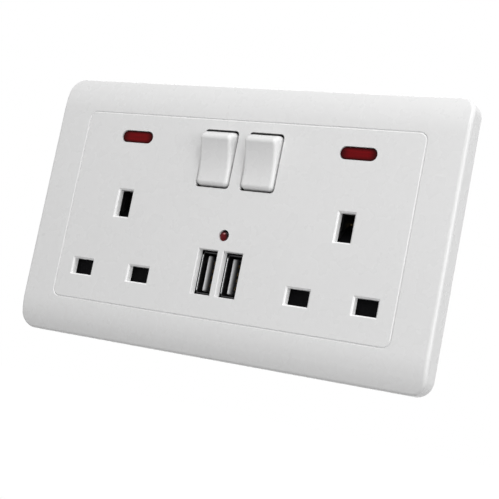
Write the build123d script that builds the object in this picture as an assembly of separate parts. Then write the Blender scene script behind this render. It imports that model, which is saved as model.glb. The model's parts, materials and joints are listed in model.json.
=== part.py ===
# Twin switched wall socket with two USB charging ports. All sizes are in millimetres.
# +X is right as seen from the front, +Y goes into the wall and +Z is up.
# The origin is on the wall plane, midway between the two fixing holes.
import os
from math import cos, radians, sin, sqrt, tan

from build123d import *

# Front cover
plate_width = 146.0
plate_height = 86.0
plate_depth = 7.0
plate_corner = 5.0
plate_edge = 1.2
cover_wall = 2.4
rim_wall = 2.0
crown_drop = 2.67
panel_width = 121.4
panel_height = 62.8
panel_corner = 2.5
groove_width = 0.6
clip_width = 6.0
clip_thickness = 1.4
clip_barb = 0.7
clip_reach = 1.6
clip_spacing = 80.0

# Pin apertures and the plug's pins
socket_spacing = 80.0
pin_pitch = 22.225
earth_height = 1.5
power_slot_width = 7.6
power_slot_height = 5.0
earth_slot_width = 5.2
earth_slot_height = 8.8
slot_edge = 0.45
earth_pin_height = 8.0
pin_thickness = 4.0
power_pin_length = 17.7
earth_pin_length = 22.7

# Rocker switches
rocker_spacing = 16.2
rocker_height = 18.7
rocker_width = 11.3
rocker_length = 17.3
rocker_gap = 0.45
rocker_tilt = 12.0
rocker_rise = 2.6
rocker_hollow = 1.1
rocker_corner = 0.8
rocker_edge = 0.6
rocker_back = 1.3
rocker_wall = 1.4
opening_corner = 1.2
opening_edge = 0.3
pivot_depth = 2.1
trunnion_radius = 0.8
trunnion_length = 1.0
boss_radius = 2.6
boss_floor = 1.2
boss_room = 3.0
plunger_radius = 1.5
plunger_length = 7.0
plunger_tip = 1.3
plunger_nose = 0.9
switch_skin = 1.2
cheek_height = 6.0
cheek_thickness = 1.8
rib_thickness = 1.4

# See-saw contacts behind the rockers
moving_tilt = 11.0
moving_bend = 16.0
moving_arm = 7.5
moving_width = 5.0
bead_radius = 1.0
contact_arm = 6.3
rivet_radius = 1.5
rivet_height = 0.8
hinge_room = 1.35
saddle_height = 5.0

# Neon indicators and the charging light
lens_width = 12.1
lens_height = 3.9
lens_rise = 23.8
lens_flange = 0.8
lens_recess = 0.3
lamp_radius = 2.0
lamp_length = 10.0
led_radius = 1.7
led_height = -5.1
led_proud = 0.5
led_nose = 0.7
led_flange = 0.8
lead_pitch = 2.54
lead_width = 0.5

# USB ports
usb_spacing = 9.0
usb_height = -17.05
usb_shell_width = 5.72
usb_shell_height = 13.1
usb_shell_length = 14.4
usb_shell_wall = 0.3
usb_recess = 2.5
usb_mouth_room_x = 0.58
usb_mouth_room_z = 0.5
usb_mouth_edge = 0.2
usb_base = 5.2
tongue_thickness = 1.84
tongue_shift = -0.4
tongue_recess = 0.5
tongue_end_gap = 0.7
usb_strip_width = 1.0
usb_strip_recess = 1.0
usb_strip_thickness = 0.25
usb_strip_places = (-3.5, -1.0, 1.0, 3.5)
board_width = 24.0
board_height = 28.0
board_thickness = 1.2
board_above_led = 7.1
board_post_width = 3.0
core_width = 12.0
core_height = 10.0
core_depth = 8.0
core_limb = 2.0
winding_bulge = 1.0
can_radius = 3.2
can_length = 10.0
can_spacing = 7.5
can_place = 6.8

# Carrier, terminals and rear cover
fixing_spacing = 120.6
fixing_radius = 2.1
lug_notch_height = 14.0
lug_notch_reach = 8.0
deck = 1.8
body_wall = 1.6
cell_wall = 1.2
clip_leaf = 0.6
clip_half = 3.0
clip_mouth = 3.0
strap = 0.8
strap_width = 4.0
terminal_spacing = 22.0
terminal_drop = 10.95
terminal_width = 8.0
terminal_length = 9.0
terminal_wall = 0.9
terminal_edge = 0.6
wire_radius = 2.25
wire_entry_room = 0.9
screw_radius = 1.5
screw_head_radius = 2.9
screw_head = 1.8
screw_lift = 0.6
screw_slot = 0.8
case_screw_radius = 1.4
case_screw_length = 7.0
case_screw_head = 1.5
rear_wall = 1.6
rear_room = 1.4
rear_lip = 1.2
rear_lip_depth = 1.5
vent_pitch = 4.0
vent_width = 1.6
vent_length = 12.0
shutter_margin = 1.0
rail_thickness = 1.2
ramp_thickness = 1.8
spring_wire = 0.4
spring_runs = 6
spring_radius = 0.8
spring_length = 11.0
spring_post = 2.0
spring_post_drop = 1.3

# Clearances
slack = 0.2
snug = 0.1
running = 0.05
tip_room = 0.3

# Planes and places that follow from the sizes above
front = -plate_depth
inner = front + cover_wall
deck_front = -deck
sockets = (-socket_spacing / 2, socket_spacing / 2)
rockers = (-rocker_spacing / 2, rocker_spacing / 2)
usb_ports = (-usb_spacing / 2, usb_spacing / 2)
terminals = (-terminal_spacing, 0, terminal_spacing)
clips = (-clip_spacing / 2, clip_spacing / 2)
leads = (-lead_pitch / 2, lead_pitch / 2)
sides = ("left", "right")
power_height = earth_height - pin_pitch
crown_start = panel_height / 2 + groove_width
crown_reach = plate_height / 2 - crown_start
crown_radius = (crown_reach**2 + crown_drop**2) / (2 * crown_drop)
live_plane = front + power_pin_length + tip_room
live_bar_plane = live_plane + strap + slack
neutral_plane = live_bar_plane + strap + slack
earth_plane = front + earth_pin_length + tip_room
terminal_back = earth_plane + strap + 2 * terminal_wall + 2 * wire_radius
wire_depth = terminal_back - terminal_wall - wire_radius
body_depth = terminal_back + rear_room
rear_face = body_depth + rear_wall
cell_half = power_slot_width / 2 + snug
cell_reach = pin_thickness / 2 + 2 * clip_leaf + rear_wall - running
body_half_width = (socket_spacing + pin_pitch) / 2 + cell_half + cell_wall
body_half_height = rocker_height + rocker_length / 2 + body_wall + 5 * slack
terminal_height = body_half_height - terminal_drop
flange_half_width = plate_width / 2 - rim_wall - 2 * slack
flange_half_height = plate_height / 2 - rim_wall - 2 * slack
flange_corner = plate_corner - rim_wall
opening_width = rocker_width + 2 * rocker_gap
opening_height = rocker_length + 2 * rocker_gap
cheek_inside = rockers[1] - rocker_width / 2 - slack
cheek_outside = rockers[1] + rocker_width / 2 + slack
pivot = front + pivot_depth
rocker_reach = sqrt(pivot_depth**2 + (rocker_length / 2) ** 2)
rocker_floor = rocker_hollow + rocker_wall - pivot_depth - rocker_rise
hinge = live_plane - hinge_room
plunger_reach = hinge - pivot - (strap / 2 + plunger_radius + tip_room) / cos(radians(moving_bend))
plunger_back = plunger_reach - plunger_length
contact_height = rocker_height + contact_arm
board_front = front + usb_recess + usb_shell_length
board_back = board_front + board_thickness
board_top = led_height + board_above_led
board_low = board_top - board_height
lamp_depth = inner + lens_flange + slack + lamp_radius
shutter_front = inner + tip_room
shutter_back = deck_front - slack
shutter_bar = power_slot_height + 2 * shutter_margin
shutter_travel = power_slot_height + shutter_margin + 5 * snug
shutter_low = power_height - shutter_bar / 2
shutter_half = pin_pitch / 2 + power_slot_width / 2 + shutter_margin
stem_half = earth_slot_width / 2 + 2 * slack
spring_slot_half = spring_radius + spring_wire / 2 + 5 * snug
ramp_low = earth_height - earth_pin_height / 2 - snug
ramp_high = ramp_low + shutter_travel
ramp_back = shutter_front + shutter_travel
post_low = power_height - spring_post_drop
post_high = post_low + spring_post
spring_top = post_high + spring_length
clip_low = body_half_height + cell_wall
earth_cell_low = ramp_low - ramp_thickness - ramp_back + deck_front - 2 * slack
earth_cell_high = earth_height + earth_slot_height / 2 + 5 * snug
earth_strap_height = earth_cell_high + strap_width / 2 + snug
boss_heights = (earth_cell_low - cell_wall / 2 - 2 * case_screw_radius, terminal_height - 2)
case_screw_places = [(x, z) for x in sockets for z in boss_heights]


def facing(y):
    # A drawing plane at depth y that looks out of the wall, with local y along +Z.
    return Plane((0, y, 0), x_dir=(1, 0, 0), z_dir=(0, -1, 0))


def prism(outline, y_front, y_back, taper=0):
    # An outline drawn as seen from the front, given depth. A negative taper widens it forwards.
    return extrude(facing(y_back) * outline, amount=y_back - y_front, taper=taper)


def block(x_low, x_high, y_low, y_high, z_low, z_high):
    outline = Rectangle(x_high - x_low, z_high - z_low)
    return prism(Pos((x_low + x_high) / 2, (z_low + z_high) / 2) * outline, y_low, y_high)


def post(x, z, radius, y_low, y_high):
    return prism(Pos(x, z) * Circle(radius), y_low, y_high)


def across(section, x_low, x_high):
    # A section drawn in Y and Z, drawn out along X.
    return extrude(Plane.YZ.offset(x_low) * section, amount=x_high - x_low)


def pin_along_x(x_low, x_high, y, z, radius):
    return across(Pos(y, z) * Circle(radius), x_low, x_high)


def polygon(points):
    return make_face(Polyline(points, close=True))


def coil(radius, length, turns):
    # A square-wire compression spring standing along +Z from the origin, each turn in straight runs.
    steps = spring_runs * turns
    points = []
    for step in range(steps + 1):
        angle = radians(360 / spring_runs * step)
        points.append((radius * cos(angle), radius * sin(angle), length * step / steps))
    path = Polyline(points)
    wire = Plane(path @ 0, z_dir=path % 0) * Rectangle(spring_wire, spring_wire)
    return sweep(wire, path=path, transition=Transition.RIGHT)


def crowned(y_front, y_back, half_height, radius, width, corner):
    # A plate that is flat in the middle and falls back in an arc towards its top and bottom.
    lip = y_front + radius - sqrt(radius**2 - (half_height - crown_start) ** 2)
    outline = Polyline((lip, -half_height), (y_back, -half_height), (y_back, half_height), (lip, half_height))
    outline += TangentArc((y_front, crown_start), (lip, half_height), tangent=(0, 1))
    outline += TangentArc((y_front, -crown_start), (lip, -half_height), tangent=(0, -1))
    outline += Line((y_front, -crown_start), (y_front, crown_start))
    body = across(make_face(outline), -width / 2, width / 2)
    return fillet(body.edges().filter_by(Axis.Y), corner)


def aperture(outline, edge):
    # A hole through the cover with a bevelled mouth.
    return prism(outline, front - 1, inner + 1) + prism(outline, front, front + edge, taper=-45)


def clip_leg(x, up):
    # A snap leg on the back of the cover, hooked behind the carrier's flange.
    low = clip_low
    high = clip_low + clip_thickness
    barb = high + clip_barb
    root = inner - clip_barb
    hook = slack
    tip = slack + clip_reach
    outline = [(root, low), (root, high), (hook, high), (hook, barb)]
    outline += [(hook + clip_reach / 3, barb), (tip, high - 2 * slack), (tip, low)]
    section = polygon([(y, up * z) for y, z in outline])
    return across(section, x - clip_width / 2, x + clip_width / 2)


def front_cover():
    half_height = plate_height / 2
    body = crowned(front, 0, half_height, crown_radius, plate_width, plate_corner)
    rim = [e for e in body.edges().filter_by(Axis.Y, reverse=True) if e.center().Y < front / 3]
    rim = [e for e in rim if abs(e.center().X) > 1 or abs(abs(e.center().Z) - crown_start) > 1]
    body = fillet(rim, plate_edge)
    inside = plate_width - 2 * rim_wall
    body -= crowned(inner, 1, half_height - rim_wall, crown_radius - cover_wall, inside, flange_corner)
    # The groove round the panel, V-shaped with a narrow floor.
    panel = RectangleRounded(panel_width, panel_height, panel_corner)
    floor = RectangleRounded(panel_width - snug, panel_height - snug, panel_corner)
    depth = groove_width / 2
    groove = prism(panel, front, front + depth, taper=-45)
    body -= groove - prism(floor, front, front + depth, taper=45)
    power_slot = Rectangle(power_slot_width, power_slot_height)
    earth_slot = Rectangle(earth_slot_width, earth_slot_height)
    lens_hole = SlotOverall(lens_width + 2 * snug, lens_height + 2 * snug)
    for x in sockets:
        body -= aperture(Pos(x - pin_pitch / 2, power_height) * power_slot, slot_edge)
        body -= aperture(Pos(x + pin_pitch / 2, power_height) * power_slot, slot_edge)
        body -= aperture(Pos(x, earth_height) * earth_slot, slot_edge)
        body -= prism(Pos(x, lens_rise) * lens_hole, front - 1, inner + 1)
    opening = RectangleRounded(opening_width, opening_height, opening_corner)
    for x in rockers:
        body -= aperture(Pos(x, rocker_height) * opening, opening_edge)
    # Thinner behind the rockers, where the carrier's cheeks come forward.
    reach = cheek_outside + cheek_thickness + rocker_gap
    low = rocker_height - opening_height / 2 - 3 * slack
    high = rocker_height + opening_height / 2 + 3 * slack
    body -= block(-reach, reach, front + switch_skin, inner + snug, low, high)
    mouth = Rectangle(usb_shell_width + 2 * usb_mouth_room_x, usb_shell_height + 2 * usb_mouth_room_z)
    for x in usb_ports:
        body -= aperture(Pos(x, usb_height) * mouth, usb_mouth_edge)
    body -= post(0, led_height, led_radius + snug, front - 1, inner + 1)
    for x in clips:
        body += clip_leg(x, 1) + clip_leg(x, -1)
    return body


def body_outline():
    # The housing behind the wall, notched where the wall box has its fixing lugs.
    notch = fixing_spacing / 2 - lug_notch_reach
    outline = Rectangle(2 * body_half_width, 2 * body_half_height)
    for side in (-1, 1):
        outline -= Pos(side * (notch + body_half_width), 0) * Rectangle(2 * body_half_width, lug_notch_height)
    return outline


def power_cell(x, y_back):
    inside = Rectangle(2 * cell_half, 2 * cell_reach)
    outside = Rectangle(2 * (cell_half + cell_wall), 2 * (cell_reach + cell_wall))
    return prism(Pos(x, power_height) * (outside - inside), 0, y_back)


def earth_cell_outline(x, grow):
    low = earth_cell_low - grow
    high = earth_cell_high + grow
    width = 2 * stem_half + 4 * slack + 2 * grow
    return Pos(x, (low + high) / 2) * Rectangle(width, high - low)


def switch_cheek(x_low, x_high):
    low = rocker_height - cheek_height / 2
    return block(x_low, x_high, front + switch_skin + slack, deck_front, low, low + cheek_height)


def trunnion_slot(x_low, x_high):
    radius = trunnion_radius + running
    mouth = block(x_low, x_high, front, pivot, rocker_height - radius, rocker_height + radius)
    return mouth + pin_along_x(x_low, x_high, pivot, rocker_height, radius)


def shutter_rails(x):
    # Side rails and the spring post that one shutter slides on.
    low = shutter_low - shutter_travel - slack
    high = shutter_low + shutter_bar + slack
    near = shutter_half + slack
    far = near + rail_thickness
    half = spring_slot_half - 2 * slack
    rails = block(x - far, x - near, inner + slack, deck_front, low, high)
    rails += block(x + near, x + far, inner + slack, deck_front, low, high)
    return rails + block(x - half, x + half, inner + 2 * slack, deck_front, post_low, post_high)


def lamp_trough(x):
    half = lamp_length / 2 + slack + cell_wall
    reach = lamp_radius + cell_wall
    return block(x - half, x + half, deck_front, lamp_depth + reach, lens_rise - reach, lens_rise + reach)


def lamp_groove(x):
    half = lamp_length / 2 + slack
    radius = lamp_radius + running
    low = lens_rise - radius
    high = lens_rise + radius
    groove = pin_along_x(x - half, x + half, lamp_depth, lens_rise, radius)
    return groove + block(x - half, x + half, deck_front - 1, lamp_depth, low, high)


def chassis():
    flange = RectangleRounded(2 * flange_half_width, 2 * flange_half_height, flange_corner)
    body = prism(flange, deck_front, 0)
    outline = body_outline()
    body += prism(outline - offset(outline, -body_wall), 0, body_depth)
    for x in sockets:
        body += power_cell(x - pin_pitch / 2, neutral_plane - running)
        body += power_cell(x + pin_pitch / 2, live_plane - running)
        body += prism(earth_cell_outline(x, cell_wall) - earth_cell_outline(x, 0), 0, earth_plane - running)
        body += shutter_rails(x)
        body += lamp_trough(x)
    boss = 2 * case_screw_radius
    for x, z in case_screw_places:
        body += block(x - boss, x + boss, 0, body_depth, z - boss, z + boss)
    # Switch cheeks, the wall between the switches and the ribs outside them.
    body += switch_cheek(-cheek_inside, cheek_inside)
    body += switch_cheek(cheek_outside, cheek_outside + cheek_thickness)
    body += switch_cheek(-cheek_outside - cheek_thickness, -cheek_outside)
    low = rocker_height - moving_arm
    high = contact_height + strap_width / 2
    body += block(-cheek_inside / 2, cheek_inside / 2, 0, live_bar_plane - running, low, high)
    rib_low = cheek_outside + slack
    rib_high = rib_low + rib_thickness
    body += block(rib_low, rib_high, 0, live_plane - running, low, high)
    body += block(-rib_high, -rib_low, 0, live_plane - running, low, high)
    # Posts that the circuit board sits on.
    half = board_post_width / 2
    inset = half + slack
    for x in (-board_width / 2 + inset, board_width / 2 - inset):
        for z in (board_low + inset, board_top - inset):
            body += block(x - half, x + half, 0, board_front, z - half, z + half)
    # Openings in the deck.
    power_window = Rectangle(power_slot_width + 4 * slack, power_slot_height + 5 * slack)
    for x in sockets:
        body -= prism(Pos(x - pin_pitch / 2, power_height) * power_window, deck_front, 0)
        body -= prism(Pos(x + pin_pitch / 2, power_height) * power_window, deck_front, 0)
        body -= prism(earth_cell_outline(x, 0), deck_front, 0)
        body -= lamp_groove(x)
    rocker_window = Rectangle(rocker_width + 2 * slack, 2 * rocker_reach + 7 * slack)
    for x in rockers:
        body -= prism(Pos(x, rocker_height) * rocker_window, deck_front, 0)
    usb_window = Rectangle(usb_shell_width + 2 * slack, usb_shell_height + 2 * slack)
    for x in usb_ports:
        body -= prism(Pos(x, usb_height) * usb_window, deck_front, 0)
    lead_window = Rectangle(lead_pitch + 2 * lead_width, 2 * lead_width)
    body -= prism(Pos(0, led_height) * lead_window, deck_front, 0)
    clip_middle = clip_low + (clip_thickness + clip_barb) / 2
    clip_window = Rectangle(clip_width + 2 * slack, clip_thickness + clip_barb + 2 * slack)
    for x in clips:
        body -= prism(Pos(x, clip_middle) * clip_window, deck_front, 0)
        body -= prism(Pos(x, -clip_middle) * clip_window, deck_front, 0)
    # Trunnion slots, fixing holes, screw pilots and wire entries.
    body -= trunnion_slot(cheek_inside - trunnion_length, cheek_inside)
    body -= trunnion_slot(-cheek_inside, -cheek_inside + trunnion_length)
    body -= trunnion_slot(cheek_outside, cheek_outside + trunnion_length)
    body -= trunnion_slot(-cheek_outside - trunnion_length, -cheek_outside)
    for x in (-fixing_spacing / 2, fixing_spacing / 2):
        body -= post(x, 0, fixing_radius, deck_front, 0)
    pilot_end = body_depth - case_screw_length - 2
    for x, z in case_screw_places:
        body -= post(x, z, case_screw_radius + running, pilot_end, body_depth)
    room = wire_radius + wire_entry_room
    low = body_half_height - body_wall - slack
    for x in terminals:
        body -= block(x - room, x + room, wire_depth - room, body_depth, low, body_half_height + slack)
    return body


def rear_cover():
    outline = body_outline()
    body = prism(outline, body_depth, rear_face)
    lip = offset(outline, -body_wall - slack)
    body += prism(lip - offset(lip, -rear_lip), body_depth - rear_lip_depth, body_depth)
    for x, z in case_screw_places:
        body -= post(x, z, case_screw_radius + snug, body_depth, rear_face)
    for x in terminals:
        body -= post(x, terminal_height, screw_head_radius + 5 * snug, body_depth, rear_face)
    vent = Rectangle(vent_width, vent_length)
    for step in (-2, -1, 0, 1, 2):
        place = Pos(step * vent_pitch, (board_top + board_low) / 2)
        body -= prism(place * vent, body_depth, rear_face)
    return body


def case_screws():
    screws = []
    for x, z in case_screw_places:
        shank = post(x, z, case_screw_radius, body_depth - case_screw_length, rear_face)
        head = post(x, z, 2 * case_screw_radius, rear_face, rear_face + case_screw_head)
        screws.append(shank + head)
    return screws


def neon_lens(x):
    place = Pos(x, lens_rise)
    body = prism(place * SlotOverall(lens_width, lens_height), front + lens_recess, inner)
    flange = SlotOverall(lens_width + 2 * lens_flange, lens_height + 2 * lens_flange)
    return body + prism(place * flange, inner, inner + lens_flange)


def neon_lamp(x):
    # A glass bulb lying along X.
    half = lamp_length / 2
    return pin_along_x(x - half, x + half, lamp_depth, lens_rise, lamp_radius)


def charge_led():
    # A round light with a bevelled nose, a flange on the deck and two leads to the board.
    half = lead_width / 2
    low = led_height - half
    high = led_height + half
    body = post(0, led_height, led_radius, front - led_proud, deck_front)
    body = chamfer(body.faces().sort_by(Axis.Y)[0].edges(), led_nose)
    body += post(0, led_height, led_radius + tip_room, deck_front - led_flange, deck_front)
    for x in leads:
        body += block(x - half, x + half, deck_front - half, board_front, low, high)
    return body


def usb_shell(x):
    outside = Rectangle(usb_shell_width, usb_shell_height)
    inside = Rectangle(usb_shell_width - 2 * usb_shell_wall, usb_shell_height - 2 * usb_shell_wall)
    return prism(Pos(x, usb_height) * (outside - inside), front + usb_recess, board_front)


def usb_tongue(x):
    width = usb_shell_width - 2 * usb_shell_wall - 2 * running
    height = usb_shell_height - 2 * usb_shell_wall - 2 * running
    base_front = board_front - usb_base
    blade = Rectangle(tongue_thickness, height - 2 * tongue_end_gap)
    body = prism(Pos(x, usb_height) * Rectangle(width, height), base_front, board_front)
    tip = front + usb_recess + tongue_recess
    return body + prism(Pos(x + tongue_shift, usb_height) * blade, tip, base_front + slack)


def usb_contacts(x):
    face = x + tongue_shift + tongue_thickness / 2
    tip = front + usb_recess + tongue_recess + usb_strip_recess
    base_front = board_front - usb_base
    half = usb_strip_width / 2
    strips = []
    for place in usb_strip_places:
        z = usb_height + place
        strips.append(block(face, face + usb_strip_thickness, tip, base_front, z - half, z + half))
    return strips


def usb_circuit_board():
    middle = (board_top + board_low) / 2
    outline = Pos(0, middle) * Rectangle(board_width, board_height)
    return prism(outline, board_front, board_back)


def usb_transformer():
    # A wound core: a ferrite ring round a taped coil.
    left = -core_width + core_limb
    right = core_limb
    top = board_top - core_height / 2
    low = top - core_height
    near = board_back + winding_bulge
    far = near + core_depth
    core = block(left, right, near, far, low, top)
    low += core_limb
    top -= core_limb
    core -= block(left, right, near + core_limb, far - core_limb, low, top)
    left += winding_bulge
    right -= winding_bulge
    return core + block(left, right, board_back, far + winding_bulge, low, top)


def usb_capacitors():
    first = board_top - can_radius - winding_bulge
    cans = []
    for z in (first, first - can_spacing):
        cans.append(post(can_place, z, can_radius, board_back, board_back + can_length))
    return cans


def leaf_section(root, flare, sign):
    # One spring leaf of a pin clip: it closes on the pin, then flares at its mouth.
    grip = pin_thickness / 2 - running
    gap = pin_thickness / 2 + tip_room
    wide = pin_thickness / 2 + flare
    pinch = clip_mouth + 4 * clip_leaf
    points = [(root, gap), (pinch, grip), (clip_mouth, wide)]
    points += [(clip_mouth, wide + clip_leaf), (pinch, grip + clip_leaf), (root, gap + clip_leaf)]
    return polygon([(y, sign * d) for y, d in points])


def power_clip(x, plane):
    half = pin_thickness / 2 + tip_room + 1.5 * clip_leaf
    body = block(x - clip_half, x + clip_half, plane, plane + strap, power_height - half, power_height + half)
    for sign in (-1, 1):
        leaf = across(leaf_section(plane, 2 * clip_leaf, sign), x - clip_half, x + clip_half)
        body += Pos(0, 0, power_height) * leaf
    return body


def earth_clip(x):
    low = earth_height - clip_half
    high = earth_strap_height + strap_width / 2
    body = block(x - clip_half, x + clip_half, earth_plane, earth_plane + strap, low, high)
    for sign in (-1, 1):
        sheet = Plane((x, 0, low), x_dir=(0, 1, 0), z_dir=(0, 0, 1))
        body += extrude(sheet * leaf_section(earth_plane, clip_leaf, sign), amount=2 * clip_half)
    return body


def earth_bar():
    half = strap_width / 2
    back = earth_plane + strap
    reach = terminal_height + terminal_length / 2
    body = earth_clip(sockets[0]) + earth_clip(sockets[1])
    level = earth_strap_height
    body += block(sockets[0], sockets[1], earth_plane, back, level - half, level + half)
    return body + block(terminal_spacing - half, terminal_spacing + half, earth_plane, back, level, reach)


def neutral_bar():
    half = strap_width / 2
    back = neutral_plane + strap
    reach = terminal_height + terminal_length / 2
    ends = [x - pin_pitch / 2 for x in sockets]
    body = power_clip(ends[0], neutral_plane) + power_clip(ends[1], neutral_plane)
    body += block(ends[0], ends[1], neutral_plane, back, power_height - half, power_height + half)
    riser = -terminal_spacing
    return body + block(riser - half, riser + half, neutral_plane, back, power_height, reach)


def live_contact(socket, switch):
    # A clip for the live pin, a riser and an arm that carries the fixed contact.
    clip = socket + pin_pitch / 2
    riser = clip - strap_width + slack
    half = strap_width / 2
    back = live_plane + strap
    body = power_clip(clip, live_plane)
    body += block(riser - half, clip, live_plane, back, power_height - half, power_height + half)
    body += block(riser - half, riser + half, live_plane, back, power_height, contact_height + half)
    beyond = 2 * rivet_radius if switch > clip else -2 * rivet_radius
    ends = sorted((riser, switch + beyond))
    body += block(ends[0], ends[1], live_plane, back, contact_height - half, contact_height + half)
    return body + post(switch, contact_height, rivet_radius, live_plane - rivet_height, live_plane)


def live_bar():
    # The bar behind both see-saws, with a hollow saddle for each pivot.
    half = rockers[1] + moving_width / 2
    low = rocker_height - saddle_height / 2
    high = rocker_height + saddle_height / 2
    body = block(-half, half, live_bar_plane, live_bar_plane + strap, low, high)
    reach = moving_width / 2 - tip_room
    mouth = hinge + bead_radius / 2 + snug
    for x in rockers:
        body += block(x - reach, x + reach, mouth, live_bar_plane, low + tip_room, high - tip_room)
        body -= pin_along_x(x - reach, x + reach, hinge, rocker_height, bead_radius + snug)
    return body


def terminal(x, plane):
    # A brass block on its strap, bored for the wire, with a tapped hole for the clamp screw.
    low = terminal_height - terminal_length / 2
    half = terminal_width / 2
    body = block(x - half, x + half, plane + strap, terminal_back, low, low + terminal_length)
    body = chamfer(body.edges().filter_by(Axis.Z), terminal_edge)
    bore = Plane((x, wire_depth, low - 1)) * Circle(wire_radius)
    body -= extrude(bore, amount=terminal_length + 2)
    return body - post(x, terminal_height, screw_radius + running, wire_depth, terminal_back)


def terminal_screws():
    head_front = terminal_back + screw_lift
    head_back = head_front + screw_head
    half = screw_slot / 2
    low = terminal_height - half
    high = terminal_height + half
    screws = []
    for x in terminals:
        shank = post(x, terminal_height, screw_radius, terminal_back - terminal_wall + snug, head_front)
        head = post(x, terminal_height, screw_head_radius, head_front, head_back)
        head -= block(x - screw_head_radius, x + screw_head_radius, head_back - 1, head_back, low, high)
        screws.append(shank + head)
    return screws


def tilted(piece, x, depth, angle):
    # Places a piece drawn about its own pivot, turned about X.
    return Pos(x, depth, rocker_height) * Rot(angle, 0, 0) * piece


def rocker_section():
    # The rocker from the side about its pivot: hollow face, ends that are arcs about the pivot.
    rise = pivot_depth + rocker_rise
    end = sqrt(rocker_reach**2 - rise**2)
    heel = sqrt(rocker_reach**2 - rocker_back**2)
    face = ThreePointArc((-rise, end), (-rise + rocker_hollow, 0), (-rise, -end))
    top = ThreePointArc((-rise, end), (0, rocker_reach), (rocker_back, heel))
    bottom = ThreePointArc((-rise, -end), (0, -rocker_reach), (rocker_back, -heel))
    return make_face(face + top + bottom + Line((rocker_back, heel), (rocker_back, -heel)))


def rocker(x):
    half = rocker_width / 2
    body = across(rocker_section(), -half, half)
    sides_only = [e for e in body.edges() if abs(e.center().X) > half - snug]
    ends = [e for e in sides_only if abs(e.center().Z) > rocker_length / 4]
    body = chamfer(ends, rocker_corner)
    body = chamfer(body.faces().sort_by(Axis.Y)[0].edges(), rocker_edge)
    # Hollow behind, with a boss for the plunger and a trunnion on each side.
    side = half - rocker_wall
    end = rocker_length / 2 - 2 * rocker_wall
    body -= block(-side, side, rocker_floor, rocker_back + 1, -end, end)
    boss_end = plunger_reach - boss_room
    body += post(0, 0, boss_radius, rocker_floor, boss_end)
    body -= post(0, 0, plunger_radius + running, rocker_floor + boss_floor, boss_end)
    tip = half + trunnion_length - slack
    body += pin_along_x(side, tip, 0, 0, trunnion_radius)
    body += pin_along_x(-tip, -side, 0, 0, trunnion_radius)
    return tilted(body, x, pivot, rocker_tilt)


def plunger(x):
    # A blunt-nosed pin in the rocker's boss.
    body = post(0, 0, plunger_radius, plunger_back, plunger_reach + plunger_tip)
    body = chamfer(body.faces().sort_by(Axis.Y)[-1].edges(), plunger_nose)
    return tilted(body, x, pivot, rocker_tilt)


def plunger_spring(x):
    start = rocker_floor + boss_floor + spring_wire
    length = plunger_back - start - spring_wire
    body = Pos(0, start, 0) * Rot(-90, 0, 0) * coil(plunger_radius - spring_wire, length, 4)
    return tilted(body, x, pivot, rocker_tilt)


def moving_contact(x):
    # A bent see-saw strip with a pivot bead behind it and a contact rivet on its upper arm.
    bend = tan(radians(moving_bend))
    half = strap / 2 / cos(radians(moving_bend))
    reach = moving_arm * cos(radians(moving_bend))
    points = [(-half, 0), (-half - reach * bend, reach), (half - reach * bend, reach), (half, 0)]
    points += [(half - reach * bend, -reach), (-half - reach * bend, -reach)]
    width = moving_width / 2
    body = across(polygon(points), -width, width)
    bead = Circle(bead_radius) - Pos(-bead_radius, 0) * Rectangle(2 * bead_radius, 2 * bead_radius)
    body += across(bead, -width, width)
    root = -contact_arm * tan(radians(moving_bend - moving_tilt))
    face = hinge_room - rivet_height - running
    body += Rot(moving_tilt, 0, 0) * post(0, contact_arm, rivet_radius, root, face)
    return tilted(body, x, hinge, -moving_tilt)


def shutter(x):
    # A T-shaped slide: the bar covers both power slots and the stem ends in a ramp behind the earth slot.
    bar = Pos(x, shutter_low + shutter_bar / 2) * Rectangle(2 * shutter_half, shutter_bar)
    body = prism(bar, shutter_front, shutter_back)
    ramp_under = ramp_high - ramp_thickness
    points = [(shutter_back, shutter_low), (shutter_front, shutter_low), (shutter_front, ramp_low)]
    points += [(ramp_back, ramp_high), (ramp_back, ramp_under)]
    points += [(shutter_back, ramp_under - ramp_back + shutter_back)]
    body += across(polygon(points), x - stem_half, x + stem_half)
    half = spring_slot_half
    low = post_low - tip_room
    high = spring_top + snug
    return body - block(x - half, x + half, shutter_front, shutter_back, low, high)


def shutter_spring(x):
    middle = (inner + deck_front) / 2
    length = spring_length - 2 * spring_wire
    return Pos(x, middle, post_high + spring_wire) * coil(spring_radius, length, 5)


def all_pieces():
    pieces = {
        "front_cover": front_cover(),
        "chassis": chassis(),
        "rear_cover": rear_cover(),
        "case_screws": case_screws(),
        "charge_led": charge_led(),
        "usb_circuit_board": usb_circuit_board(),
        "usb_transformer": usb_transformer(),
        "usb_capacitors": usb_capacitors(),
        "earth_bar": earth_bar(),
        "neutral_bar": neutral_bar(),
        "live_bar": live_bar(),
        "earth_terminal": terminal(terminal_spacing, earth_plane),
        "neutral_terminal": terminal(-terminal_spacing, neutral_plane),
        "live_terminal": terminal(0, live_bar_plane),
        "terminal_screws": terminal_screws(),
    }
    for side, socket, switch, port in zip(sides, sockets, rockers, usb_ports):
        pieces[side + "_neon_lens"] = neon_lens(socket)
        pieces[side + "_neon_lamp"] = neon_lamp(socket)
        pieces[side + "_shutter"] = shutter(socket)
        pieces[side + "_shutter_spring"] = shutter_spring(socket)
        pieces[side + "_live_contact"] = live_contact(socket, switch)
        pieces[side + "_rocker"] = rocker(switch)
        pieces[side + "_plunger"] = plunger(switch)
        pieces[side + "_plunger_spring"] = plunger_spring(switch)
        pieces[side + "_moving_contact"] = moving_contact(switch)
        pieces[side + "_usb_shell"] = usb_shell(port)
        pieces[side + "_usb_tongue"] = usb_tongue(port)
        pieces[side + "_usb_contacts"] = usb_contacts(port)
    return pieces


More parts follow.
